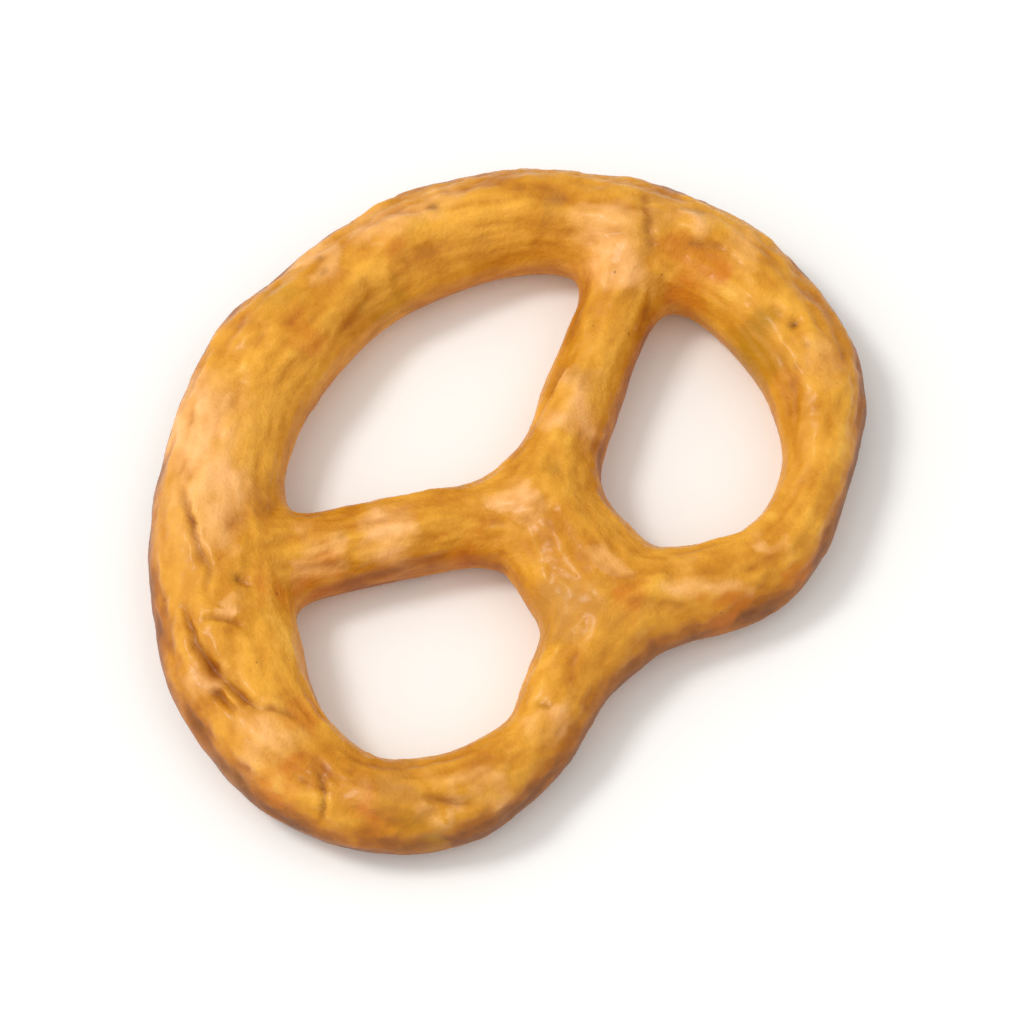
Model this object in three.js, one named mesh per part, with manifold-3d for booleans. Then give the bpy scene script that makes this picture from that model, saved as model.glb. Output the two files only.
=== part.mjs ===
// A mini pretzel, baked in one piece: a loop of dough drawn in at the front to a notch and a short thick
// stem, from which two thin bars run out to the loop's shoulders and leave three holes.
// It lies on its flat underside, which is at z = 0 with its middle at the origin. Millimetres, +Z up.
// The dough is one skin round a few rolls that melt into each other, with the creases, blisters and pits
// of the bake in it. It carries no salt.
import * as THREE from "three";
import { mergeVertices } from "three/addons/utils/BufferGeometryUtils.js";
import Module from "manifold-3d";

const wasm = await Module();
wasm.setup();

// ---- Driving dimensions, in mm ----

// The loop's centre line from above, in [x, y, half width]. The left arm is the longer and the fatter one.
const BACK = [1.8, 12.2, 2.75];
const RIGHT_ARM = [
  [6.5, 11.5, 2.8],
  [11.0, 9.3, 2.65],
  [14.7, 5.2, 2.7],
  [16.8, -1.0, 2.7],
  [16.05, -6.4, 2.45],
  [12.5, -10.6, 1.65],
  [8.05, -12.5, 1.95],
  [4.6, -11.55, 2.15],
];
const NOTCH = [1.0, -10.0, 2.1];
const LEFT_ARM = [
  [-2.65, -10.8, 2.15],
  [-7.05, -12.8, 1.8],
  [-11.45, -12.5, 2.15],
  [-15.1, -10.0, 2.4],
  [-16.6, -5.4, 2.8],
  [-15.6, -0.25, 3.3],
  [-12.8, 4.75, 3.2],
  [-8.45, 9.15, 3.05],
  [-3.7, 11.5, 3.0],
];
// The stem from the notch to the fork, and the two bars from the fork to the loop, in the same way.
const STEM = [
  [0.45, -9.2, 3.05],
  [0.65, -6.4, 3.15],
  [1.1, -3.4, 2.15],
];
const RIGHT_BAR = [
  [1.0, -3.4, 2.05],
  [7.6, 0.95, 1.85],
  [13.65, 4.45, 2.0],
];
const LEFT_BAR = [
  [1.1, -3.4, 1.8],
  [-5.85, 0.3, 2.05],
  [-12.3, 3.2, 1.85],
];

const WIDEST_LEVEL = 2.2; // height at which a roll is widest
const CROWN_AT_NO_WIDTH = 3.1; // a roll's height is this plus
const CROWN_PER_HALF_WIDTH = 0.65; // this much for each mm of its half width
const STEM_SAG = 0.5; // the wide stem lies this much lower than that
const UNDERSIDE_FLATNESS = 0.86; // how far down its round underside a roll meets the tray, 1 = a point
const MELT = 2.0; // reach of the fillet where two rolls meet

const CELL = 0.74; // spacing of the skin's faces
const MARGIN = 3 * CELL; // clear space round the dough while its skin is found
const TRAY_GRIP = 0.16; // skin this near to the tray is drawn on to it
const WELD = 0.003; // corners closer than this become one

// Creases that opened in the bake: points in [x, y], with depth and half width.
const CREASES = [
  { path: [[-12.7, 7.6], [-13.6, 5.4], [-14.4, 3.7], [-15.2, 2.4]], depth: 0.45, half: 0.6 },
  { path: [[-16.1, 2.6], [-17.0, 0.6], [-17.3, -1.4], [-17.5, -3.2], [-17.1, -4.6]], depth: 0.5, half: 0.6 },
  { path: [[-15.9, 1.2], [-14.5, 0.0]], depth: 0.25, half: 0.5 },
  { path: [[-17.2, -3.6], [-15.2, -5.4]], depth: 0.25, half: 0.5 },
  { path: [[-16.6, -8.4], [-18.0, -10.0]], depth: 0.3, half: 0.5 },
  { path: [[-13.8, -12.5], [-11.8, -14.0]], depth: 0.35, half: 0.5 },
  { path: [[15.2, 2.6], [16.8, 1.3]], depth: 0.3, half: 0.5 },
  { path: [[0.8, -11.6], [3.2, -12.4]], depth: 0.3, half: 0.5 },
];
// Blisters and ridges of the crust: [x, y, height, half length, half width, direction in degrees].
const BLISTERS = [
  [-18.3, -0.6, 0.35, 1.6, 0.7, 100],
  [-15.6, -10.3, 0.25, 0.8, 0.7, 0],
  [-11.1, -12.9, 0.3, 1.7, 0.6, -25],
  [15.8, 4.0, 0.25, 1.4, 0.6, 85],
  [5.0, 12.6, 0.2, 1.8, 0.6, -15],
  [2.6, -10.4, 0.2, 0.9, 0.6, -20],
];
// Pits and pinholes: [x, y, depth, radius].
const PITS = [
  [2.6, -2.4, 0.3, 0.6],
  [0.8, -4.3, 0.3, 0.6],
  [16.7, -4.1, 0.35, 0.45],
  [-13.3, 2.2, 0.3, 0.7],
];
const LUMPS = 0.08; // height of the slow unevenness all over the dough
const LUMP_LENGTH = 6.5; // from one such lump to the next

// ---- Rolls of dough ----

// A smooth line through points of [x, y, half width], as segments with what a distance to them needs.
function rollAlong(stations, { closed = false, steps = 12, sag = 0 } = {}) {
  const points = stations.map(([x, y, half]) => new THREE.Vector3(x, y, half));
  const line = new THREE.CatmullRomCurve3(points, closed, "centripetal").getPoints(steps);
  return line.slice(1).map((end, i) => {
    const start = line[i];
    const along = [end.x - start.x, end.y - start.y];
    return { start, along, grow: end.z - start.z, lengthSq: along[0] ** 2 + along[1] ** 2, sag };
  });
}

// Distance from a roll's skin, below 0 inside. Its section is round on top and flattened underneath.
function distanceToRoll(roll, x, y, z) {
  let nearest = Infinity;
  for (const { start, along, grow, lengthSq, sag } of roll) {
    const dx = x - start.x;
    const dy = y - start.y;
    const share = THREE.MathUtils.clamp((dx * along[0] + dy * along[1]) / lengthSq, 0, 1);
    const half = start.z + share * grow;
    const crown = CROWN_AT_NO_WIDTH + CROWN_PER_HALF_WIDTH * half - sag - WIDEST_LEVEL;
    const drop = z > WIDEST_LEVEL ? crown : WIDEST_LEVEL / UNDERSIDE_FLATNESS;
    const aside = Math.hypot(dx - share * along[0], dy - share * along[1]);
    const distance = Math.hypot(aside, ((z - WIDEST_LEVEL) * half) / drop) - half;
    nearest = Math.min(nearest, distance);
  }
  return nearest;
}

// The lesser of two distances, rounded off where they are near to each other.
function melted(a, b) {
  const nearness = Math.max(MELT - Math.abs(a - b), 0) / MELT;
  return Math.min(a, b) - (nearness ** 2 * MELT) / 4;
}

const loop = rollAlong([BACK, ...RIGHT_ARM, NOTCH, ...LEFT_ARM], { closed: true, steps: 150 });
const branches = [rollAlong(STEM, { sag: STEM_SAG }), rollAlong(RIGHT_BAR), rollAlong(LEFT_BAR)];

// ---- Relief of the crust ----

function distanceToPath(path, x, y) {
  let nearest = Infinity;
  for (let i = 1; i < path.length; i += 1) {
    const [ax, ay] = path[i - 1];
    const [bx, by] = path[i];
    const lengthSq = (bx - ax) ** 2 + (by - ay) ** 2;
    const along = ((x - ax) * (bx - ax) + (y - ay) * (by - ay)) / lengthSq;
    const share = THREE.MathUtils.clamp(along, 0, 1);
    nearest = Math.min(nearest, Math.hypot(x - ax - share * (bx - ax), y - ay - share * (by - ay)));
  }
  return nearest;
}

// How far the crust stands out of the plain rolls, seen from above.
function reliefAt(x, y, z) {
  const turn = (2 * Math.PI) / LUMP_LENGTH;
  let out = LUMPS * Math.sin(turn * x + 0.6) * Math.sin(turn * y + 1.9);
  out += 0.5 * LUMPS * Math.sin(1.7 * turn * (0.8 * x - 0.6 * y) + turn * z);
  if (z < WIDEST_LEVEL) return out;
  for (const { path, depth, half } of CREASES) {
    out -= depth * Math.exp(-((distanceToPath(path, x, y) / half) ** 2));
  }
  for (const [bx, by, height, halfLength, halfWidth, degrees] of BLISTERS) {
    const angle = THREE.MathUtils.degToRad(degrees);
    const along = (x - bx) * Math.cos(angle) + (y - by) * Math.sin(angle);
    const across = (y - by) * Math.cos(angle) - (x - bx) * Math.sin(angle);
    out += height * Math.exp(-((along / halfLength) ** 2) - (across / halfWidth) ** 2);
  }
  for (const [px, py, depth, radius] of PITS) {
    out -= depth * Math.exp(-((x - px) ** 2 + (y - py) ** 2) / radius ** 2);
  }
  return out;
}

function doughAt(x, y, z) {
  const rolls = branches.map((roll) => distanceToRoll(roll, x, y, z));
  const plain = rolls.reduce(melted, distanceToRoll(loop, x, y, z));
  return plain - reliefAt(x, y, z);
}

// ---- Skin: a closed mesh where a field passes 0, with one vertex in each grid cell that it crosses ----

// Which way the field grows fastest at a point, with its value there.
function slopeAt(field, p) {
  const step = 0.02;
  const grow = (dx, dy, dz) =>
    (field(p.x + dx, p.y + dy, p.z + dz) - field(p.x - dx, p.y - dy, p.z - dz)) / (2 * step);
  return new THREE.Vector3(grow(step, 0, 0), grow(0, step, 0), grow(0, 0, step));
}

function forEachCell([nx, ny, nz], first, visit) {
  for (let k = first; k < nz - 1; k += 1) {
    for (let j = first; j < ny - 1; j += 1) {
      for (let i = first; i < nx - 1; i += 1) visit(i, j, k);
    }
  }
}

const AXES = [[1, 0, 0], [0, 1, 0], [0, 0, 1]];

// A grid corner s and t steps from another, across axis n.
function stepped(corner, n, s, t) {
  const [u, v] = [AXES[(n + 1) % 3], AXES[(n + 2) % 3]];
  return corner.map((c, m) => c + s * u[m] + t * v[m]);
}

function skinOf(field, box, cell) {
  const counts = box.getSize(new THREE.Vector3()).divideScalar(cell).ceil().addScalar(1).toArray();
  const at = ([i, j, k]) => i + counts[0] * (j + counts[1] * k);
  const placeOf = (corner) => new THREE.Vector3(...corner).multiplyScalar(cell).add(box.min);
  const values = new Float64Array(counts[0] * counts[1] * counts[2]);
  forEachCell(counts.map((count) => count + 1), 0, (...corner) => {
    values[at(corner)] = field(...placeOf(corner));
  });

  // Corners that are in and out by turns round one square of the grid would pinch the skin there,
  // so the one nearest to the skin changes sides.
  forEachCell(counts, 0, (...corner) => {
    AXES.forEach((_, n) => {
      const square = [[0, 0], [1, 0], [1, 1], [0, 1]].map(([s, t]) => at(stepped(corner, n, s, t)));
      const sides = square.map((c) => values[c] < 0);
      if (sides[0] === sides[1] || sides[0] !== sides[2] || sides[1] !== sides[3]) return;
      const nearest = square.reduce((a, b) => (Math.abs(values[a]) < Math.abs(values[b]) ? a : b));
      values[nearest] *= -1;
    });
  });

  // One vertex in each crossed cell: the mean of the crossings on its edges, drawn on to the skin.
  const vertices = [];
  const vertexOfCell = new Map();
  forEachCell(counts, 0, (...corner) => {
    const mean = new THREE.Vector3();
    let crossings = 0;
    AXES.forEach((axis, n) => {
      for (const [s, t] of [[0, 0], [1, 0], [0, 1], [1, 1]]) {
        const low = stepped(corner, n, s, t);
        const high = low.map((c, m) => c + axis[m]);
        const [a, b] = [values[at(low)], values[at(high)]];
        if (a < 0 === b < 0) continue;
        mean.add(placeOf(low).lerp(placeOf(high), a / (a - b)));
        crossings += 1;
      }
    });
    if (!crossings) return;
    mean.divideScalar(crossings);
    for (let round = 0; round < 2; round += 1) {
      const slope = slopeAt(field, mean);
      const pull = slope.multiplyScalar(-field(mean.x, mean.y, mean.z) / slope.lengthSq());
      mean.add(pull.clampLength(0, cell / 6));
    }
    if (Math.abs(mean.z) < TRAY_GRIP) mean.z = 0;
    vertexOfCell.set(at(corner), vertices.length);
    vertices.push(mean);
  });

  // Two triangles across each crossed grid edge, between the vertices of the four cells round it.
  const triangles = [];
  forEachCell(counts, 1, (...corner) => {
    AXES.forEach((axis, n) => {
      const inside = values[at(corner)] < 0;
      if (inside === values[at(corner.map((c, m) => c + axis[m]))] < 0) return;
      const square = [[0, 0], [-1, 0], [-1, -1], [0, -1]].map(([s, t]) => at(stepped(corner, n, s, t)));
      const [a, b, c, d] = (inside ? square : square.reverse()).map((place) => vertexOfCell.get(place));
      const shorter = vertices[a].distanceTo(vertices[c]) < vertices[b].distanceTo(vertices[d]);
      triangles.push(...(shorter ? [a, b, c, a, c, d] : [a, b, d, b, c, d]));
    });
  });
  const geometry = new THREE.BufferGeometry().setFromPoints(vertices);
  geometry.setIndex(triangles);
  return geometry;
}

// ---- Cutting ----

function solidOf(geometry) {
  geometry.deleteAttribute("normal");
  geometry.deleteAttribute("uv");
  const merged = mergeVertices(geometry, WELD);
  const vertProperties = new Float32Array(merged.attributes.position.array);
  const triVerts = new Uint32Array(merged.index.array);
  return new wasm.Manifold(new wasm.Mesh({ numProp: 3, vertProperties, triVerts }));
}

// A solid's faces, without the hair-thin ones that a cut leaves.
function geometryOf(solid) {
  const mesh = solid.getMesh();
  const geometry = new THREE.BufferGeometry();
  geometry.setAttribute("position", new THREE.BufferAttribute(mesh.vertProperties, 3));
  geometry.setIndex(new THREE.BufferAttribute(mesh.triVerts, 1));
  const welded = mergeVertices(geometry, WELD);
  const corners = [];
  for (let i = 0; i < welded.index.count; i += 3) {
    const [a, b, c] = welded.index.array.slice(i, i + 3);
    if (a !== b && b !== c && c !== a) corners.push(a, b, c);
  }
  return welded.setIndex(corners);
}

// ---- The pretzel ----

function pretzelGeometry() {
  const plan = new THREE.Box2();
  for (const [x, y, half] of [BACK, ...RIGHT_ARM, NOTCH, ...LEFT_ARM]) {
    plan.expandByPoint(new THREE.Vector2(x - half, y - half));
    plan.expandByPoint(new THREE.Vector2(x + half, y + half));
  }
  plan.expandByScalar(MARGIN);
  const top = 2 * WIDEST_LEVEL + CROWN_AT_NO_WIDTH;
  const box = new THREE.Box3(
    new THREE.Vector3(plan.min.x, plan.min.y, -MARGIN),
    new THREE.Vector3(plan.max.x, plan.max.y, top),
  );
  const dough = solidOf(skinOf(doughAt, box, CELL));

  // The tray that it was baked on leaves it flat underneath.
  const trayDepth = 2 * MARGIN;
  const traySide = 2 * plan.getSize(new THREE.Vector2()).x;
  const tray = new THREE.BoxGeometry(traySide, traySide, trayDepth);
  tray.translate(0, 0, -trayDepth / 2);

  const geometry = geometryOf(dough.subtract(solidOf(tray)));
  geometry.computeBoundingBox();
  const middle = geometry.boundingBox.getCenter(new THREE.Vector3());
  geometry.translate(-middle.x, -middle.y, 0);
  geometry.computeVertexNormals();
  return geometry;
}

const bakedCrust = new THREE.MeshStandardMaterial({ color: 0xd98a2b, roughness: 0.45, metalness: 0 });
const pretzel = new THREE.Mesh(pretzelGeometry(), bakedCrust);
pretzel.name = "pretzel";

const root = new THREE.Group();
root.add(pretzel);

export default root;
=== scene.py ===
import math

import bpy
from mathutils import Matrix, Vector


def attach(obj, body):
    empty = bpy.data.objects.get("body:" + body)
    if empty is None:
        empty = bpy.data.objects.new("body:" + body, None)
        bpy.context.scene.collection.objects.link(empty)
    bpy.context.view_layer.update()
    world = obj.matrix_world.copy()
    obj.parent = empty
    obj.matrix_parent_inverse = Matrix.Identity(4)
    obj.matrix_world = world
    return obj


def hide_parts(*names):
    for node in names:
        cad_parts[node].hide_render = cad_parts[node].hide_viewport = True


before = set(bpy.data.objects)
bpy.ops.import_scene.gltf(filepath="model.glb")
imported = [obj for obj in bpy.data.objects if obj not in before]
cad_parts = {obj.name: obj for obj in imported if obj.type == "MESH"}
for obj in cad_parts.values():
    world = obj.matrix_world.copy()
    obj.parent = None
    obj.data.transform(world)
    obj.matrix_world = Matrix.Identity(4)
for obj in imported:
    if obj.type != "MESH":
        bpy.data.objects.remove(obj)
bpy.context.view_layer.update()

# ---- Camera ----
# The photograph looks steeply down on the pretzel, from its left front and about a foot away.
# The pretzel fills most of the picture here, so that its crust can be seen.
VIEW_AZIMUTH = math.radians(-39)
VIEW_ELEVATION = math.radians(65)
VIEW_DISTANCE = 0.32  # metres
VIEW_AIM = Vector((0.0001, -0.0023, 0.0018))
LENS = 229  # mm, on a 36 mm sensor
NEAREST_SEEN = 0.01  # metres
FARTHEST_SEEN = 10.0

towards_camera = Vector((
    math.sin(VIEW_AZIMUTH) * math.cos(VIEW_ELEVATION),
    -math.cos(VIEW_AZIMUTH) * math.cos(VIEW_ELEVATION),
    math.sin(VIEW_ELEVATION),
))
camera = bpy.data.objects.new("camera", bpy.data.cameras.new("camera"))
camera.data.lens = LENS
camera.data.clip_start = NEAREST_SEEN
camera.data.clip_end = FARTHEST_SEEN
camera.location = VIEW_AIM + VIEW_DISTANCE * towards_camera
camera.rotation_euler = (-towards_camera).to_track_quat("-Z", "Y").to_euler()
bpy.context.collection.objects.link(camera)
bpy.context.scene.camera = camera

# ---- The dough ----
# One rope of lean wheat dough, formed into a loop with a stem and two bars and pinched where they meet.
# It was dipped in hot lye and baked on a flat belt until its skin was a hard, golden, half-glossy crust.
# Sizes are in millimetres.
MM_PER_METRE = 1000

# Centre lines of the rolls from above, in (x, y, half width).
LOOP = (
    (1.8, 12.2, 2.75), (6.5, 11.5, 2.8), (11.0, 9.3, 2.65), (14.7, 5.2, 2.7), (16.8, -1.0, 2.7),
    (16.05, -6.4, 2.45), (12.5, -10.6, 1.65), (8.05, -12.5, 1.95), (4.6, -11.55, 2.15), (1.0, -10.0, 2.1),
    (-2.65, -10.8, 2.15), (-7.05, -12.8, 1.8), (-11.45, -12.5, 2.15), (-15.1, -10.0, 2.4),
    (-16.6, -5.4, 2.8), (-15.6, -0.25, 3.3), (-12.8, 4.75, 3.2), (-8.45, 9.15, 3.05), (-3.7, 11.5, 3.0),
)
STEM = ((0.45, -9.2, 3.05), (0.65, -6.4, 3.15), (1.1, -3.4, 2.15))
RIGHT_BAR = ((1.0, -3.4, 2.05), (7.6, 0.95, 1.85), (13.65, 4.45, 2.0))
LEFT_BAR = ((1.1, -3.4, 1.8), (-5.85, 0.3, 2.05), (-12.3, 3.2, 1.85))
ROLLS = {"loop": LOOP, "stem": STEM, "right_bar": RIGHT_BAR, "left_bar": LEFT_BAR}
STEM_SAG = 0.5  # the wide stem lies this much lower than its width asks
LOOP_REACH = 14.0  # from the middle to the loop's centre line

# Marks on the crust, as strokes seen from above: how strong each is, its half width and its points. Most
# are marks that the bake left; the golden strokes are painted highlights, the pale ones paler skin and partly
# painted highlights. The strength of a crease, ridge or pit is its depth or height, and that of a tone is a
# share.
MARKS = {
    "crease": (
        (0.26, 0.30, (-12.4, 8.2), (-13.4, 5.6), (-14.4, 3.4), (-15.1, 2.2)),
        (0.34, 0.34, (-16.1, 3.2), (-16.8, 1.0), (-17.1, -0.9), (-17.1, -2.8), (-16.7, -4.4)),
        (0.26, 0.30, (-17.9, -1.3), (-17.8, -3.3)),
        (0.20, 0.26, (-16.0, 1.6), (-14.5, -0.2)),
        (0.18, 0.26, (-13.5, 2.3), (-13.0, 1.3)),
        (0.18, 0.30, (-17.2, -3.6), (-15.2, -5.4)),
        (0.26, 0.28, (-16.4, -8.0), (-17.6, -9.9)),
        (0.24, 0.28, (-13.5, -12.1), (-12.4, -13.2), (-11.4, -14.1)),
        (0.20, 0.28, (15.2, 2.6), (15.9, 1.9), (16.5, 1.1)),
        (0.15, 0.36, (0.5, -10.5), (2.1, -11.8), (3.3, -12.7)),
        (0.20, 0.32, (13.8, 3.4), (14.4, 4.6), (15.4, 6.2)),
        (0.12, 0.25, (-10.6, 1.2), (-8.0, -0.3)),
        (0.12, 0.25, (2.6, 13.9), (6.4, 13.6)),
    ),
    "ridge": (
        (0.24, 0.60, (-18.0, 0.9), (-18.2, -0.5), (-18.0, -1.9)),
        (0.20, 0.80, (-15.7, -10.2)),
        (0.24, 0.50, (-13.1, -12.6), (-11.2, -13.2), (-9.1, -13.6)),
        (0.14, 0.45, (-14.3, -12.4), (-12.6, -13.6)),
        (0.20, 0.50, (15.4, 4.9), (15.9, 3.6), (16.4, 2.1)),
        (0.15, 0.60, (2.5, 13.7), (5.8, 11.9)),
        (0.15, 0.50, (1.9, -10.2), (3.3, -10.7)),
        (0.20, 1.00, (11.2, 2.0), (12.4, 4.4), (13.2, 6.6), (13.6, 8.4)),
        (0.15, 1.30, (-17.4, -5.4)),
    ),
    "pit": (
        (0.25, 0.50, (2.5, -2.6)),
        (0.25, 0.50, (0.8, -4.3)),
        (0.30, 0.35, (16.6, -4.2)),
        (0.20, 0.50, (-13.3, 2.0)),
        (0.20, 0.40, (-5.8, -11.8)),
    ),
    # Paler skin where it stretched, and partly painted highlight along the crests.
    "pale": (
        (0.95, 1.60, (-7.6, 12.6), (-9.4, 10.4), (-11.4, 7.4), (-12.6, 5.0), (-13.4, 3.4)),
        (0.80, 0.70, (-14.7, 1.5), (-14.5, 0.8)),
        (0.60, 0.80, (-17.9, 0.4), (-17.9, -1.4)),
        (0.60, 1.30, (-17.4, -5.3)),
        (0.50, 0.70, (-15.7, -10.3)),
        (0.60, 1.00, (-0.4, 13.5), (1.9, 13.3)),
        (0.60, 0.80, (2.5, 13.7), (5.8, 12.2), (8.2, 12.6)),
        # Painted highlight: the lit side of the band where the right bar's end crosses the loop.
        (0.75, 1.20, (11.4, 2.4), (12.4, 5.0), (13.2, 7.4)),
        (0.70, 0.60, (15.4, 4.9), (16.4, 2.1)),
        (0.50, 0.60, (16.7, 1.3), (17.2, -0.5)),
        (0.40, 0.90, (16.6, -5.5), (16.0, -7.8)),
        (0.70, 1.00, (-5.8, -11.6), (-6.1, -13.6)),
        (0.80, 1.10, (-1.4, -3.1), (0.8, -3.2)),
        (0.60, 0.70, (0.4, -8.5), (1.4, -8.0)),
        (0.60, 0.50, (2.4, -10.8), (5.7, -12.9)),
        (0.60, 0.60, (7.5, -12.7), (8.3, -12.6)),
        (0.60, 0.60, (-13.1, -12.6), (-11.2, -13.2), (-9.1, -13.5)),
        (0.40, 0.50, (-14.4, -12.2), (-12.5, -13.5)),
        (0.80, 0.80, (-10.2, 1.8), (-7.9, 0.4)),
        (0.90, 0.90, (-7.3, 0.4), (-4.4, -1.0)),
        (0.80, 0.90, (3.6, -1.5), (5.3, -0.3), (7.0, 1.0)),
    ),
    # Painted highlights: golden patches where the light falls on the crests.
    "painted_highlight": (
        (0.70, 1.20, (-4.3, 12.3), (-5.4, 10.8)),
        (0.90, 1.20, (1.2, 11.4), (2.8, 10.4)),
        (0.90, 1.40, (5.6, 11.2), (8.6, 10.2), (10.2, 8.8)),
        (1.00, 1.60, (-9.0, 6.6), (-7.4, 8.0), (-5.8, 8.8)),
        (0.80, 1.30, (-16.0, -0.6), (-16.0, -2.4), (-15.8, -4.0)),
        (0.60, 1.00, (17.0, -2.6), (16.4, -4.6)),
        (0.30, 1.20, (13.6, -8.8), (11.8, -11.2)),
    ),
    "orange": (
        (0.70, 1.00, (2.5, 12.0), (4.3, 11.0)),
        (0.70, 1.00, (-3.4, 10.0), (-1.3, 10.1)),
        (0.90, 1.40, (13.6, 2.4), (15.2, 0.2)),
        (0.80, 1.00, (0.2, -9.9), (0.9, -11.3)),
        (0.80, 0.80, (3.4, -12.4), (5.4, -13.9)),
        (0.70, 0.80, (8.2, -13.5), (8.6, -14.4)),
        (0.60, 0.80, (-10.8, 1.0), (-9.0, 0.0)),
        (0.60, 1.00, (-12.7, 1.3), (-11.1, 0.4)),
        (0.70, 0.80, (-17.5, -6.8), (-17.8, -7.9)),
        (0.60, 0.90, (-15.5, -4.9), (-14.8, -6.0)),
        (0.70, 0.70, (-16.4, -10.6), (-15.3, -11.1)),
        (0.70, 0.80, (-4.1, -2.3), (-2.3, -3.6)),
    ),
    "olive": (
        (0.80, 1.00, (0.9, 10.1), (3.3, 9.4)),
        (1.00, 1.30, (15.0, -1.8), (14.3, -5.2)),
        (0.60, 0.80, (-3.6, 13.5), (-1.4, 11.9)),
        (0.70, 0.90, (-15.5, -12.1), (-13.0, -14.1)),
    ),
    "tan": (
        (0.80, 2.00, (-3.6, -10.4), (-0.8, -7.2)),
        (0.60, 1.00, (6.1, -0.1), (7.2, 0.6)),
        (0.60, 1.20, (-14.7, -10.4), (-13.0, -11.8)),
        (0.60, 1.00, (10.9, 8.7), (12.3, 7.9)),
        # Painted shade: the shaded side of the band where the right bar's end crosses the loop.
        (0.70, 0.60, (13.9, 3.6), (15.3, 6.0)),
    ),
    # Dark specks. Those that sit in a pit are painted shade in it; the others are dark spots of the crust.
    "speck": (
        (0.55, 0.30, (6.8, 12.1)),
        (0.35, 0.25, (0.5, 13.5)),
        (0.50, 0.20, (0.2, 12.8)),
        (0.50, 0.22, (16.2, 4.4), (16.9, 3.2)),
        (0.70, 0.24, (16.6, -4.2)),
        (0.30, 0.18, (16.2, -5.5)),
        (0.25, 0.15, (15.1, -5.8)),
        (0.45, 0.35, (2.5, -2.8)),
        (0.35, 0.25, (-7.9, 1.0)),
        (0.45, 0.25, (-5.8, -11.9)),
        (0.40, 0.30, (-13.3, 2.1)),
    ),
}

KINDS = (*ROLLS, *MARKS)
FINE_MARKS = ("crease", "ridge", "pit", "speck")  # these keep close to their lines
BARE_MARKS = ("ridge", "pit")  # these have no tone of their own
FAR_WANDER = 4.0  # tones wander this many times as far as fine marks
LIP_HEIGHT = 0.9  # how strongly the dough beside a crease is pushed up
TAPER = 4  # how blunt a stroke's ends are
GUIDE_SPACING = 0.1  # between the points that stand for a centre line or a stroke

DOUGH_SIZES = {
    "Widest Level": 2.2,  # where a roll is widest, above the belt
    "Crown At No Width": 3.04,  # a roll's top is at this level, and higher by a share of its half width
    "Crown Per Half Width": 0.65,
    "Underside Flatness": 0.86,
    "Melt": 3.0,  # how far two rolls run into each other where they meet
    "Base Rounding": 0.35,
    "Grain": 0.17,  # between the points of the skin
    "Lump Height": 0.14,
    "Lump Length": 5.0,
    "Fold Height": 0.14,
    "Fold Width": 1.6,
    "Fold Stretch": 3.0,  # how many times longer than wide folds and wrinkles are
    "Wrinkle Height": 0.065,
    "Wrinkle Width": 0.7,
    "Dimple Height": 0.035,
    "Dimple Length": 0.6,
    "Blister Height": 0.07,
    "Blister Spacing": 1.9,
    "Wander": 1.0,
    "Wander Length": 2.0,
}
VOLUME_LOW = Vector((-20.6, -16.0, -0.6))  # corners of the space that the dough is formed in
VOLUME_HIGH = Vector((20.6, 16.0, 6.2))
SKIN_DENSITY = 0.5  # of the volume, at the skin
FOLD_HANDOVER = 0.7  # either side of where two rolls meet, the folds of one give way to the other's
MARK_LEVELS = (1.0, 2.4)  # marks come in between these levels
RELIEF_LEVELS = (0.3, 1.4)  # and the relief between these
RELIEF_FACINGS = (0.2, 0.7)  # and between a steep flank and a gentle one, 1 being level
FLANK_RELIEF = 0.3  # share of the relief that is left on a steep flank
BLISTER_EDGE = (0.3, 0.02)  # where a blister ends and where it is full, as shares of the spacing
BLISTERS_MISSING = 0.45  # share of the places that have none
NOISE_SPAN = (0.3, 0.7)  # nearly all of a noise pattern lies between these
NOISE_MIDDLE = (0.5, 0.5, 0.5)  # what a coloured noise pattern varies about
SLOW_NOISE = (1.0, 0.5)  # a noise pattern's detail and roughness
SOFT_NOISE = (2.0, 0.5)


def smooth_line(stations, closed=False):
    """Points close together on a centripetal Catmull-Rom curve through the stations."""
    points = [Vector(station) for station in stations]
    if len(points) == 1:
        return points
    before = points[-1] if closed else 2 * points[0] - points[1]
    after = points[:2] if closed else [2 * points[-1] - points[-2]]
    padded = [before, *points, *after]
    line = []
    for a, b, c, d in zip(padded, padded[1:], padded[2:], padded[3:]):
        ab, bc, cd = (math.sqrt((end - start).length) for start, end in ((a, b), (b, c), (c, d)))
        leave = ((b - a) / ab - (c - a) / (ab + bc) + (c - b) / bc) * bc
        arrive = ((c - b) / bc - (d - b) / (bc + cd) + (d - c) / cd) * bc
        steps = max(1, round((c - b).length / GUIDE_SPACING))
        for u in (step / steps for step in range(steps)):
            line.append(
                b * (2 * u**3 - 3 * u**2 + 1)
                + c * (3 * u**2 - 2 * u**3)
                + leave * (u**3 - 2 * u**2 + u)
                + arrive * (u**3 - u**2)
            )
    return line if closed else [*line, points[-1]]


# The guide: every roll's and every stroke's points in one mesh, told apart by their kind.
guide_points = []
for kind, stations in ROLLS.items():
    for x, y, half in smooth_line(stations, closed=kind == "loop"):
        guide_points.append((kind, x, y, half, 0.0))
for kind, strokes in MARKS.items():
    for strength, half, *path in strokes:
        line = smooth_line([(x, y, 0.0) for x, y in path])
        for order, point in enumerate(line):
            off_middle = abs(2 * order / (len(line) - 1) - 1) if len(line) > 1 else 0.0
            guide_points.append((kind, point.x, point.y, half, strength * (1 - off_middle**TAPER)))

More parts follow.
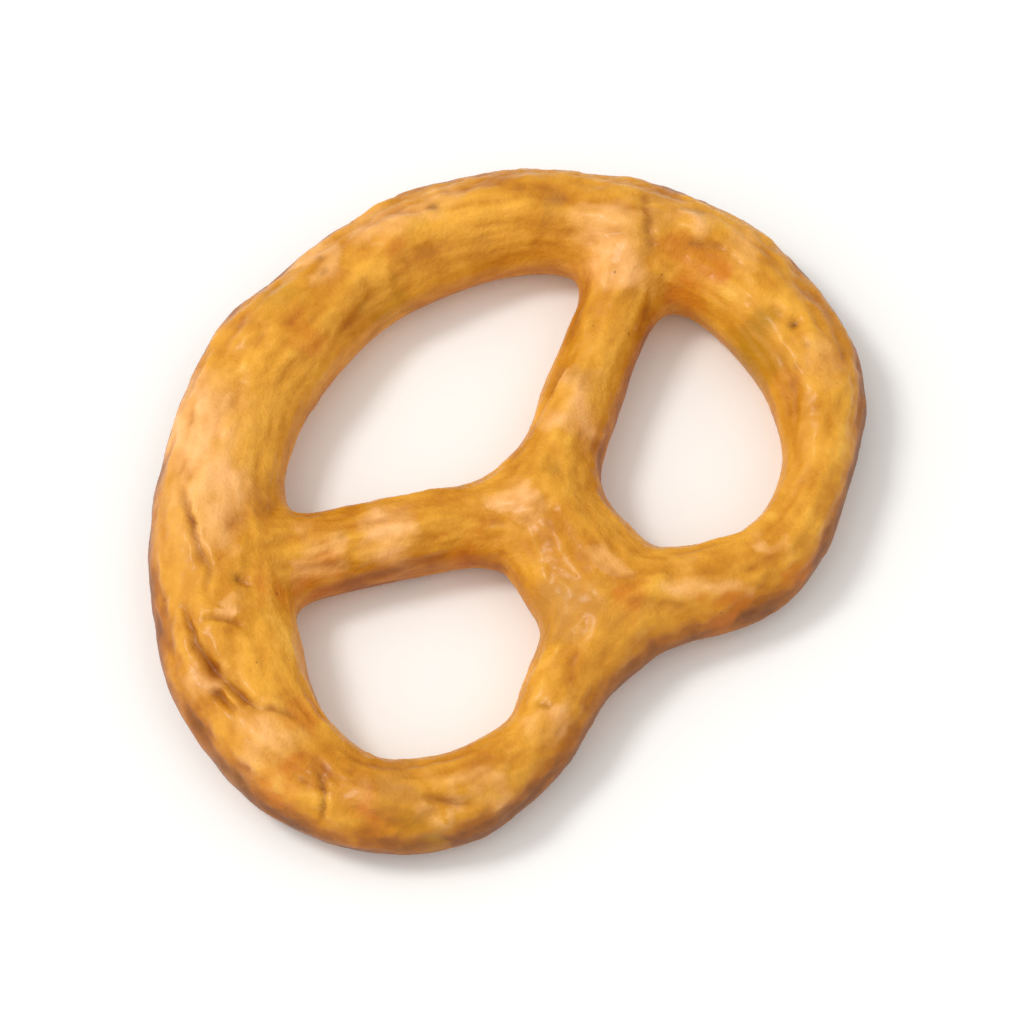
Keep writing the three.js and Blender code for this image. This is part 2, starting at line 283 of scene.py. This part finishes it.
guide_mesh = bpy.data.meshes.new("pretzel_guide")
guide_mesh.from_pydata([(x, y, 0.0) for _, x, y, _, _ in guide_points], [], [])
for name, form, values in (
    ("kind", "INT", [KINDS.index(kind) for kind, _, _, _, _ in guide_points]),
    ("half", "FLOAT", [half for _, _, _, half, _ in guide_points]),
    ("strength", "FLOAT", [strength for _, _, _, _, strength in guide_points]),
):
    guide_mesh.attributes.new(name, form, "POINT").data.foreach_set("value", values)


def add(tree, kind, *sources, out=None, **settings):
    """Adds a node. Its open inputs take the sources in order, as links or values; None leaves one be."""
    made = tree.nodes.new(kind)
    for setting, value in settings.items():
        setattr(made, setting, value)
    for socket, source in zip([s for s in made.inputs if s.enabled], sources):
        if isinstance(source, bpy.types.NodeSocket):
            tree.links.new(source, socket)
        elif source is not None:
            socket.default_value = source
    return made.outputs[out] if out else next((s for s in made.outputs if s.enabled), made)


dough_tree = bpy.data.node_groups.new("pretzel_dough", "GeometryNodeTree")
dough_tree.interface.new_socket("Dough", in_out="OUTPUT", socket_type="NodeSocketGeometry")
dough_tree.interface.new_socket("Guide", in_out="INPUT", socket_type="NodeSocketGeometry")
dough_inputs = {}
for name in (*DOUGH_SIZES, "Crust"):
    form = "NodeSocketMaterial" if name == "Crust" else "NodeSocketFloat"
    dough_inputs[name] = dough_tree.interface.new_socket(name, in_out="INPUT", socket_type=form).identifier
given = dough_tree.nodes.new("NodeGroupInput").outputs

place = add(dough_tree, "GeometryNodeInputPosition")
split = add(dough_tree, "ShaderNodeSeparateXYZ", place).node
level = split.outputs["Z"]
from_above = add(dough_tree, "ShaderNodeCombineXYZ", split.outputs["X"], split.outputs["Y"], 0.0)
guide_kind = add(dough_tree, "GeometryNodeInputNamedAttribute", "kind", data_type="INT")
guide_half = add(dough_tree, "GeometryNodeInputNamedAttribute", "half", data_type="FLOAT")
guide_strength = add(dough_tree, "GeometryNodeInputNamedAttribute", "strength", data_type="FLOAT")


def nearest_of(kind, spot):
    """The guide point of one kind nearest to a spot: its place, distance, half width and strength."""
    chosen = add(
        dough_tree, "FunctionNodeCompare", guide_kind, KINDS.index(kind), data_type="INT", operation="EQUAL"
    )
    points = add(dough_tree, "GeometryNodeSeparateGeometry", given["Guide"], chosen)
    index = add(dough_tree, "GeometryNodeSampleNearest", points, spot)
    centre = add(dough_tree, "GeometryNodeSampleIndex", points, place, index, data_type="FLOAT_VECTOR")
    aside = add(dough_tree, "ShaderNodeVectorMath", spot, centre, operation="DISTANCE", out="Value")
    half = add(dough_tree, "GeometryNodeSampleIndex", points, guide_half, index, data_type="FLOAT")
    strength = add(dough_tree, "GeometryNodeSampleIndex", points, guide_strength, index, data_type="FLOAT")
    return centre, aside, half, strength


one_over = {
    name: add(dough_tree, "ShaderNodeMath", 1.0, given[name], operation="DIVIDE")
    for name in (
        "Fold Stretch", "Fold Width", "Wrinkle Width", "Wander Length", "Blister Spacing", "Lump Length",
        "Dimple Length",
    )
}

# A roll's section: round on top, where a wider roll is a higher one, and flattened underneath.
above = add(dough_tree, "ShaderNodeMath", level, given["Widest Level"], operation="SUBTRACT")
is_above = add(dough_tree, "FunctionNodeCompare", above, 0.0, data_type="FLOAT", operation="GREATER_THAN")
below = add(
    dough_tree, "ShaderNodeMath", given["Widest Level"], given["Underside Flatness"], operation="DIVIDE"
)
squeeze = add(dough_tree, "ShaderNodeMath", one_over["Fold Stretch"], 1.0, operation="SUBTRACT")
skin = folds = wrinkles = None
for kind in ROLLS:
    centre, aside, half, _ = nearest_of(kind, from_above)
    crown = add(
        dough_tree, "ShaderNodeMath", given["Crown Per Half Width"], half, given["Crown At No Width"],
        operation="MULTIPLY_ADD",
    )
    crown = add(dough_tree, "ShaderNodeMath", crown, given["Widest Level"], operation="SUBTRACT")
    if kind == "stem":
        crown = add(dough_tree, "ShaderNodeMath", crown, STEM_SAG, operation="SUBTRACT")
    tall = add(dough_tree, "GeometryNodeSwitch", is_above, below, crown, input_type="FLOAT")
    rise = add(dough_tree, "ShaderNodeMath", above, half, operation="MULTIPLY")
    rise = add(dough_tree, "ShaderNodeMath", rise, tall, operation="DIVIDE")
    reach = add(dough_tree, "ShaderNodeCombineXYZ", aside, rise, 0.0)
    reach = add(dough_tree, "ShaderNodeVectorMath", reach, operation="LENGTH", out="Value")
    roll = add(dough_tree, "ShaderNodeMath", reach, half, operation="SUBTRACT")
    # Folds and wrinkles run along the roll, because their pattern is drawn out with its centre line.
    drawn = add(dough_tree, "ShaderNodeVectorMath", centre, squeeze, operation="SCALE")
    drawn = add(dough_tree, "ShaderNodeVectorMath", place, drawn, operation="ADD")
    fold = add(dough_tree, "ShaderNodeTexNoise", drawn, one_over["Fold Width"], *SOFT_NOISE)
    wrinkle = add(dough_tree, "ShaderNodeTexNoise", drawn, one_over["Wrinkle Width"], *SOFT_NOISE)
    if skin is None:
        skin, folds, wrinkles = roll, fold, wrinkle
        continue
    lead = add(dough_tree, "ShaderNodeMath", skin, roll, operation="SUBTRACT")
    lead = add(
        dough_tree, "ShaderNodeMapRange", lead, -FOLD_HANDOVER, FOLD_HANDOVER, 0.0, 1.0,
        interpolation_type="SMOOTHSTEP",
    )
    folds = add(dough_tree, "ShaderNodeMix", lead, folds, fold, data_type="FLOAT")
    wrinkles = add(dough_tree, "ShaderNodeMix", lead, wrinkles, wrinkle, data_type="FLOAT")
    skin = add(dough_tree, "ShaderNodeMath", skin, roll, given["Melt"], operation="SMOOTH_MIN")
under = add(dough_tree, "ShaderNodeMath", level, -1.0, operation="MULTIPLY")
skin = add(dough_tree, "ShaderNodeMath", skin, under, given["Base Rounding"], operation="SMOOTH_MAX")
density = add(dough_tree, "ShaderNodeMath", SKIN_DENSITY, skin, operation="SUBTRACT")

counts = []
for low, high in zip(VOLUME_LOW, VOLUME_HIGH):
    span = add(dough_tree, "ShaderNodeMath", high - low, given["Grain"], operation="DIVIDE")
    counts.append(add(dough_tree, "FunctionNodeFloatToInt", span, rounding_mode="ROUND"))
volume = add(dough_tree, "GeometryNodeVolumeCube", density, 0.0, VOLUME_LOW, VOLUME_HIGH, *counts)
body = add(dough_tree, "GeometryNodeVolumeToMesh", volume, SKIN_DENSITY, 0.0)

# Each kind of mark: its strokes wander a little from their lines, never up or down, and fade out to the
# sides and downwards.
wander = add(dough_tree, "ShaderNodeTexNoise", place, one_over["Wander Length"], *SOFT_NOISE, out="Color")
wander = add(dough_tree, "ShaderNodeVectorMath", wander, NOISE_MIDDLE, operation="SUBTRACT")
wander = add(dough_tree, "ShaderNodeVectorMath", wander, given["Wander"], operation="SCALE")
wander = add(dough_tree, "ShaderNodeVectorMath", wander, (1.0, 1.0, 0.0), operation="MULTIPLY")
far_wander = add(dough_tree, "ShaderNodeVectorMath", wander, FAR_WANDER, operation="SCALE")
on_top = add(
    dough_tree, "ShaderNodeMapRange", level, *MARK_LEVELS, 0.0, 1.0, interpolation_type="SMOOTHSTEP"
)
marks = {}
for kind in MARKS:
    shift = wander if kind in FINE_MARKS else far_wander
    spot = add(dough_tree, "ShaderNodeVectorMath", from_above, shift, operation="ADD")
    _, aside, half, strength = nearest_of(kind, spot)
    away = add(dough_tree, "ShaderNodeMath", aside, half, operation="DIVIDE")
    away = add(dough_tree, "ShaderNodeMath", away, away, operation="MULTIPLY")
    fade = add(dough_tree, "ShaderNodeMath", away, -1.0, operation="MULTIPLY")
    fade = add(dough_tree, "ShaderNodeMath", fade, operation="EXPONENT")
    if kind == "crease":
        # The dough beside a crease is pushed up into low lips.
        lips = add(dough_tree, "ShaderNodeMath", away, -LIP_HEIGHT, 1.0, operation="MULTIPLY_ADD")
        fade = add(dough_tree, "ShaderNodeMath", fade, lips, operation="MULTIPLY")
    amount = add(dough_tree, "ShaderNodeMath", fade, strength, operation="MULTIPLY")
    marks[kind] = add(dough_tree, "ShaderNodeMath", amount, on_top, operation="MULTIPLY")

# Small blisters, each at its own place and height, where steam lifted the skin.
off_belt = add(
    dough_tree, "ShaderNodeMapRange", level, *RELIEF_LEVELS, 0.0, 1.0, interpolation_type="SMOOTHSTEP"
)
cells = add(dough_tree, "ShaderNodeTexVoronoi", place, one_over["Blister Spacing"], out="Distance").node
blister = add(
    dough_tree, "ShaderNodeMapRange", cells.outputs["Distance"], *BLISTER_EDGE, 0.0, 1.0,
    interpolation_type="SMOOTHSTEP",
)
chance = add(dough_tree, "FunctionNodeSeparateColor", cells.outputs["Color"])
chance = add(dough_tree, "ShaderNodeMapRange", chance, BLISTERS_MISSING, 1.0, 0.0, 1.0)
blister = add(dough_tree, "ShaderNodeMath", blister, chance, operation="MULTIPLY")
blister = add(dough_tree, "ShaderNodeMath", blister, off_belt, operation="MULTIPLY")

# The relief: marks, blisters, slow lumps, folds, wrinkles and dimples, all square to the skin.
outward = add(dough_tree, "GeometryNodeInputNormal")
upward = add(dough_tree, "ShaderNodeSeparateXYZ", outward, out="Z")
relief = add(dough_tree, "ShaderNodeMath", marks["ridge"], marks["crease"], operation="SUBTRACT")
relief = add(dough_tree, "ShaderNodeMath", relief, marks["pit"], operation="SUBTRACT")
relief = add(
    dough_tree, "ShaderNodeMath", blister, given["Blister Height"], relief, operation="MULTIPLY_ADD"
)
off_side = add(
    dough_tree, "ShaderNodeMapRange", upward, *RELIEF_FACINGS, FLANK_RELIEF, 1.0,
    interpolation_type="SMOOTHSTEP",
)
off_side = add(dough_tree, "ShaderNodeMath", off_side, off_belt, operation="MULTIPLY")
lumps = add(dough_tree, "ShaderNodeTexNoise", place, one_over["Lump Length"], *SLOW_NOISE)
dimples = add(dough_tree, "ShaderNodeTexNoise", place, one_over["Dimple Length"], *SOFT_NOISE)
for name, pattern, share in (
    ("Lump Height", lumps, off_belt), ("Fold Height", folds, off_side),
    ("Wrinkle Height", wrinkles, off_side), ("Dimple Height", dimples, off_side),
):
    pattern = add(dough_tree, "ShaderNodeMapRange", pattern, *NOISE_SPAN, -1.0, 1.0, clamp=False)
    pattern = add(dough_tree, "ShaderNodeMath", pattern, share, operation="MULTIPLY")
    relief = add(dough_tree, "ShaderNodeMath", pattern, given[name], relief, operation="MULTIPLY_ADD")

# What the crust's colours depend on is kept at every point of the skin, before the relief moves it.
# "outer" is how far a flank faces away from the pretzel's middle.
from_middle = add(dough_tree, "ShaderNodeVectorMath", from_above, 1 / LOOP_REACH, operation="SCALE")
outer = add(dough_tree, "ShaderNodeVectorMath", outward, from_middle, operation="DOT_PRODUCT", out="Value")
kept = {"upward": upward, "outer": outer, "folds": folds, "wrinkles": wrinkles, "blister": blister}
kept |= {kind: mark for kind, mark in marks.items() if kind not in BARE_MARKS}
for name, value in kept.items():
    body = add(
        dough_tree, "GeometryNodeStoreNamedAttribute", body, None, name, value,
        data_type="FLOAT", domain="POINT",
    )
offset = add(dough_tree, "ShaderNodeVectorMath", outward, relief, operation="SCALE")
body = add(dough_tree, "GeometryNodeSetPosition", body, None, None, offset)
body = add(dough_tree, "GeometryNodeTransform", body, None, None, Vector((1, 1, 1)) / MM_PER_METRE)
body = add(dough_tree, "GeometryNodeSetShadeSmooth", body, None, True)
body = add(dough_tree, "GeometryNodeRealizeInstances", body)
body = add(dough_tree, "GeometryNodeSetMaterial", body, None, given["Crust"])
add(dough_tree, "NodeGroupOutput", body)


def tone(hex_value):
    """A colour as it looks on a screen, such as "d98a2b", turned to linear light."""
    shares = (int(hex_value[i:i + 2], 16) / 255 for i in (0, 2, 4))
    return (*(s / 12.92 if s <= 0.04045 else ((s + 0.055) / 1.055) ** 2.4 for s in shares), 1.0)


# Lye-dipped, oven-browned wheat crust. The eye takes in a golden brown that is never even: browner low on
# the outer sides and in the hollows, partly painted shade, paler where the skin stretched, partly painted
# highlight, half glossy where it is thin, with pores all over.
BLOTCH = 3.0  # mm across a blotch of browning
MOTTLE = 0.8  # mm across the finer mottling
PORE = 0.2  # mm between pores
BLOTCH_NOISE = (3.0, 0.6)  # detail and roughness of the blotches, and below of the rest
MOTTLE_NOISE = (5.0, 0.65)
PORE_NOISE = (2.0, 0.6)
PORE_DEPTH = 0.06  # mm
PINHOLE = 1.5  # mm between pinholes
PINHOLE_EDGE = (0.02, 0.07)  # where a pinhole is full and where it ends, as shares of the spacing
PINHOLES_MISSING = 0.6  # share of the places that have none
# A pinhole's dark tone is painted shade inside it.
PINHOLE_TONE = "7a4210"
PINHOLE_SHADE = 0.5  # share of that tone in a pinhole

# How far each pattern changes the browning where it is low and where it is high. Folds, wrinkles and pores
# darken in their hollows and lighten on their crests: partly browning, partly painted shade and highlight.
EVEN_BROWNING = (0.26, 0.52)  # by blotch, before the other changes
MOTTLE_BROWNING = (-0.07, 0.07)
PORE_BROWNING_AND_SHADING = (0.04, -0.04)
FOLD_BROWNING_AND_SHADING = (0.14, -0.14)
WRINKLE_BROWNING_AND_SHADING = (0.12, -0.12)
BLISTER_BROWNING = -0.16
# Steep flanks, the outer ones most, are darker: partly browning, partly painted shade where less light falls.
FLANK_FACINGS = (0.8, 0.1)  # the flanks darken, by browning and painted shade, between a gentle slope and a steep one
FLANK_OUTER = (-0.3, 0.9)  # and between the sides round the holes and the outer sides
FLANK_BROWNING_AND_SHADE = (0.0, 0.5)
BROWNING = (
    (0.0, "f4b848"), (0.24, "e29e2c"), (0.5, "c88012"), (0.68, "ac640d"), (0.84, "94540e"), (1.0, "7c440c"),
)

# The tones of the single marks: kind, share, whether it holds on the crests (1) or in the hollows (-1) of
# the wrinkles, and colour. Each is broken into streaks by the wrinkles. The light tones on the crests are
# partly painted highlight, and the dark crease tone in the hollows is partly painted shade.
TONES = (
    ("olive", 0.9, -1, "b9800c"), ("orange", 0.8, -1, "d0720e"), ("painted_highlight", 0.9, 1, "f0ac38"),
    ("pale", 1.1, 1, "f6b66e"), ("tan", 1.0, -1, "c08434"), ("crease", 3.0, -1, "93500e"),
    ("speck", 1.2, -1, "6a3408"),
)
STREAKS = (0.35, 1.3)  # how much of a tone shows where the wrinkles don't hold it and where they do

ROUGHNESS = (0.42, 0.58)  # by mottle
FLANK_ROUGHNESS = 0.4  # added low on the sides, where the crust browned matt
ROUGH_FACINGS = (0.6, 0.1)
MOTTLE_IN_GRIT = 1.5  # how much coarser unevenness there is beside the pores
BUMP_STRENGTH = 0.8
# Baked starch with a thin hard skin: a low, soft shine, with a little light let in below it.
CRUST_SHINE = {
    "IOR": 1.45,
    "Specular IOR Level": 0.2,
    "Coat Weight": 0.45,
    "Coat Roughness": 0.24,
    "Coat IOR": 1.36,
    "Subsurface Weight": 0.06,
    "Subsurface Scale": 0.0006,
    "Subsurface Radius": (1.0, 0.5, 0.2),
}

crust = bpy.data.materials.new("lye_baked_wheat_crust")
crust.use_nodes = True
paint = crust.node_tree
paint.nodes.clear()


def seen(name):
    """A value kept on the skin when the dough was formed."""
    return add(paint, "ShaderNodeAttribute", attribute_name=name, out="Fac")


where = add(paint, "ShaderNodeTexCoord", out="Object")
blotch = add(paint, "ShaderNodeTexNoise", where, MM_PER_METRE / BLOTCH, *BLOTCH_NOISE)
mottle = add(paint, "ShaderNodeTexNoise", where, MM_PER_METRE / MOTTLE, *MOTTLE_NOISE)
pores = add(paint, "ShaderNodeTexNoise", where, MM_PER_METRE / PORE, *PORE_NOISE)

# Browning and painted shade from 0, barely coloured, to 1, dark: blotchy, more in the hollows and most on the
# outer flanks, where part of the darkening is painted shade.
browning_and_shading = add(paint, "ShaderNodeMapRange", blotch, *NOISE_SPAN, *EVEN_BROWNING, clamp=False)
# Folds, wrinkles and pores: painted shade in the hollows and painted highlight on the crests, with real
# browning.
for pattern, changes in (
    (mottle, MOTTLE_BROWNING), (pores, PORE_BROWNING_AND_SHADING), (seen("folds"), FOLD_BROWNING_AND_SHADING),
    (seen("wrinkles"), WRINKLE_BROWNING_AND_SHADING),
):
    change = add(paint, "ShaderNodeMapRange", pattern, *NOISE_SPAN, *changes, clamp=False)
    browning_and_shading = add(paint, "ShaderNodeMath", browning_and_shading, change, operation="ADD")
# Painted shade, with some real browning: steep flanks darken, the outer ones most.
flank = add(
    paint, "ShaderNodeMapRange", seen("upward"), *FLANK_FACINGS, 0.0, 1.0, interpolation_type="SMOOTHSTEP"
)
flank_browning_and_shade = add(
    paint, "ShaderNodeMapRange", seen("outer"), *FLANK_OUTER, *FLANK_BROWNING_AND_SHADE, interpolation_type="SMOOTHSTEP"
)
browning_and_shading = add(paint, "ShaderNodeMath", flank, flank_browning_and_shade, browning_and_shading, operation="MULTIPLY_ADD")
browning_and_shading = add(paint, "ShaderNodeMath", seen("blister"), BLISTER_BROWNING, browning_and_shading, operation="MULTIPLY_ADD")
colour = add(paint, "ShaderNodeValToRGB", browning_and_shading)
ramp = colour.node.color_ramp
ramp.elements.remove(ramp.elements[1])
for order, (at, hex_value) in enumerate(BROWNING):
    element = ramp.elements.new(at) if order else ramp.elements[0]
    element.position = at
    element.color = tone(hex_value)

# The single marks' tones. Read backwards, the span makes a tone hold in the hollows, where the dark ones
# are partly painted shade; the light ones held on the crests are partly painted highlight.
for kind, share, side, hex_value in TONES:
    streak = add(
        paint, "ShaderNodeMapRange", seen("wrinkles"), *NOISE_SPAN[::side], *STREAKS, clamp=False
    )
    amount = add(paint, "ShaderNodeMath", seen(kind), share, operation="MULTIPLY")
    amount = add(paint, "ShaderNodeMath", amount, streak, operation="MULTIPLY", use_clamp=True)
    colour = add(paint, "ShaderNodeMix", amount, colour, tone(hex_value), data_type="RGBA")

# Pinholes where bubbles of steam came out, darkened with painted shade inside them.
bubbles = add(paint, "ShaderNodeTexVoronoi", where, MM_PER_METRE / PINHOLE, out="Distance").node
chance = add(paint, "ShaderNodeSeparateColor", bubbles.outputs["Color"])
chance = add(paint, "ShaderNodeMath", chance, PINHOLES_MISSING, operation="GREATER_THAN")
pinholes = add(
    paint, "ShaderNodeMapRange", bubbles.outputs["Distance"], *PINHOLE_EDGE, 1.0, 0.0,
    interpolation_type="SMOOTHSTEP",
)
pinholes = add(paint, "ShaderNodeMath", pinholes, chance, operation="MULTIPLY")
amount = add(paint, "ShaderNodeMath", pinholes, PINHOLE_SHADE, operation="MULTIPLY")
colour = add(paint, "ShaderNodeMix", amount, colour, tone(PINHOLE_TONE), data_type="RGBA")

# The skin's gloss and its finest grit, with the pinholes sunk in.
roughness = add(paint, "ShaderNodeMapRange", mottle, *NOISE_SPAN, *ROUGHNESS)
matt = add(paint, "ShaderNodeMapRange", seen("upward"), *ROUGH_FACINGS, 0.0, FLANK_ROUGHNESS)
roughness = add(paint, "ShaderNodeMath", roughness, matt, operation="ADD")
grit = add(paint, "ShaderNodeMath", pinholes, -1.0, pores, operation="MULTIPLY_ADD")
grit = add(paint, "ShaderNodeMath", mottle, MOTTLE_IN_GRIT, grit, operation="MULTIPLY_ADD")
bump = add(paint, "ShaderNodeBump", BUMP_STRENGTH, PORE_DEPTH / MM_PER_METRE, None, grit)
surface = paint.nodes.new("ShaderNodeBsdfPrincipled")
for socket, value in CRUST_SHINE.items():
    surface.inputs[socket].default_value = value
paint.links.new(colour, surface.inputs["Base Color"])
paint.links.new(roughness, surface.inputs["Roughness"])
paint.links.new(bump, surface.inputs["Normal"])
add(paint, "ShaderNodeOutputMaterial", surface.outputs[0])

guide_mesh.materials.append(crust)
guide = bpy.data.objects.new("pretzel_guide", guide_mesh)
bpy.context.collection.objects.link(guide)
forming = guide.modifiers.new("forming", "NODES")
forming.node_group = dough_tree
for name, value in (*DOUGH_SIZES.items(), ("Crust", crust)):
    forming[dough_inputs[name]] = value
graph = bpy.context.evaluated_depsgraph_get()
formed = bpy.data.meshes.new_from_object(
    guide.evaluated_get(graph), preserve_all_data_layers=True, depsgraph=graph
)
bpy.data.objects.remove(guide)
dough = bpy.data.objects.new("pretzel_crust", formed)
bpy.context.collection.objects.link(dough)
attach(dough, "root")
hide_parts("pretzel")

# ---- Floor ----
# A plain sheet of pale card, wide enough that its edges never show. It is matt, so the eye sees no gloss
# on it, only the pretzel's soft shadow.
FLOOR_SIDE = 4.0  # metres
CARD_TONE = "fbfaf6"
CARD_ROUGHNESS = 0.9

half_side = FLOOR_SIDE / 2
corners = [(x * half_side, y * half_side, 0.0) for x, y in ((-1, -1), (1, -1), (1, 1), (-1, 1))]
floor_mesh = bpy.data.meshes.new("floor")
floor_mesh.from_pydata(corners, [], [(0, 1, 2, 3)])
floor = bpy.data.objects.new("floor", floor_mesh)
bpy.context.collection.objects.link(floor)
card = bpy.data.materials.new("matt_white_card")
card.use_nodes = True
card_surface = card.node_tree.nodes["Principled BSDF"]
card_surface.inputs["Base Color"].default_value = tone(CARD_TONE)
card_surface.inputs["Roughness"].default_value = CARD_ROUGHNESS
floor_mesh.materials.append(card)

# ---- Light ----
# A small soft light and a wide one stand behind the pretzel on the left, and a weak one in front on the
# right. The room is pale, so that the shadows stay soft and light.
LIGHTS = (  # name, place and side in metres, watts
    ("key", (-0.25, 0.3, 0.6), 0.18, 1.7),
    ("sky", (-0.4, 0.3, 0.5), 1.0, 2.25),
    ("fill", (0.3, -0.4, 0.6), 0.8, 0.85),
)
ROOM_BRIGHTNESS = 0.62

for name, position, side, watts in LIGHTS:
    lamp = bpy.data.objects.new(name, bpy.data.lights.new(name, "AREA"))
    lamp.data.shape = "SQUARE"
    lamp.data.size = side
    lamp.data.energy = watts
    lamp.location = position
    lamp.rotation_euler = (-Vector(position)).to_track_quat("-Z", "Y").to_euler()
    bpy.context.collection.objects.link(lamp)
room = bpy.data.worlds.new("pale_room")
room.use_nodes = True
room.node_tree.nodes["Background"].inputs["Color"].default_value = (1.0, 1.0, 1.0, 1.0)
room.node_tree.nodes["Background"].inputs["Strength"].default_value = ROOM_BRIGHTNESS
bpy.context.scene.world = room
bpy.context.scene.view_settings.view_transform = "Standard"
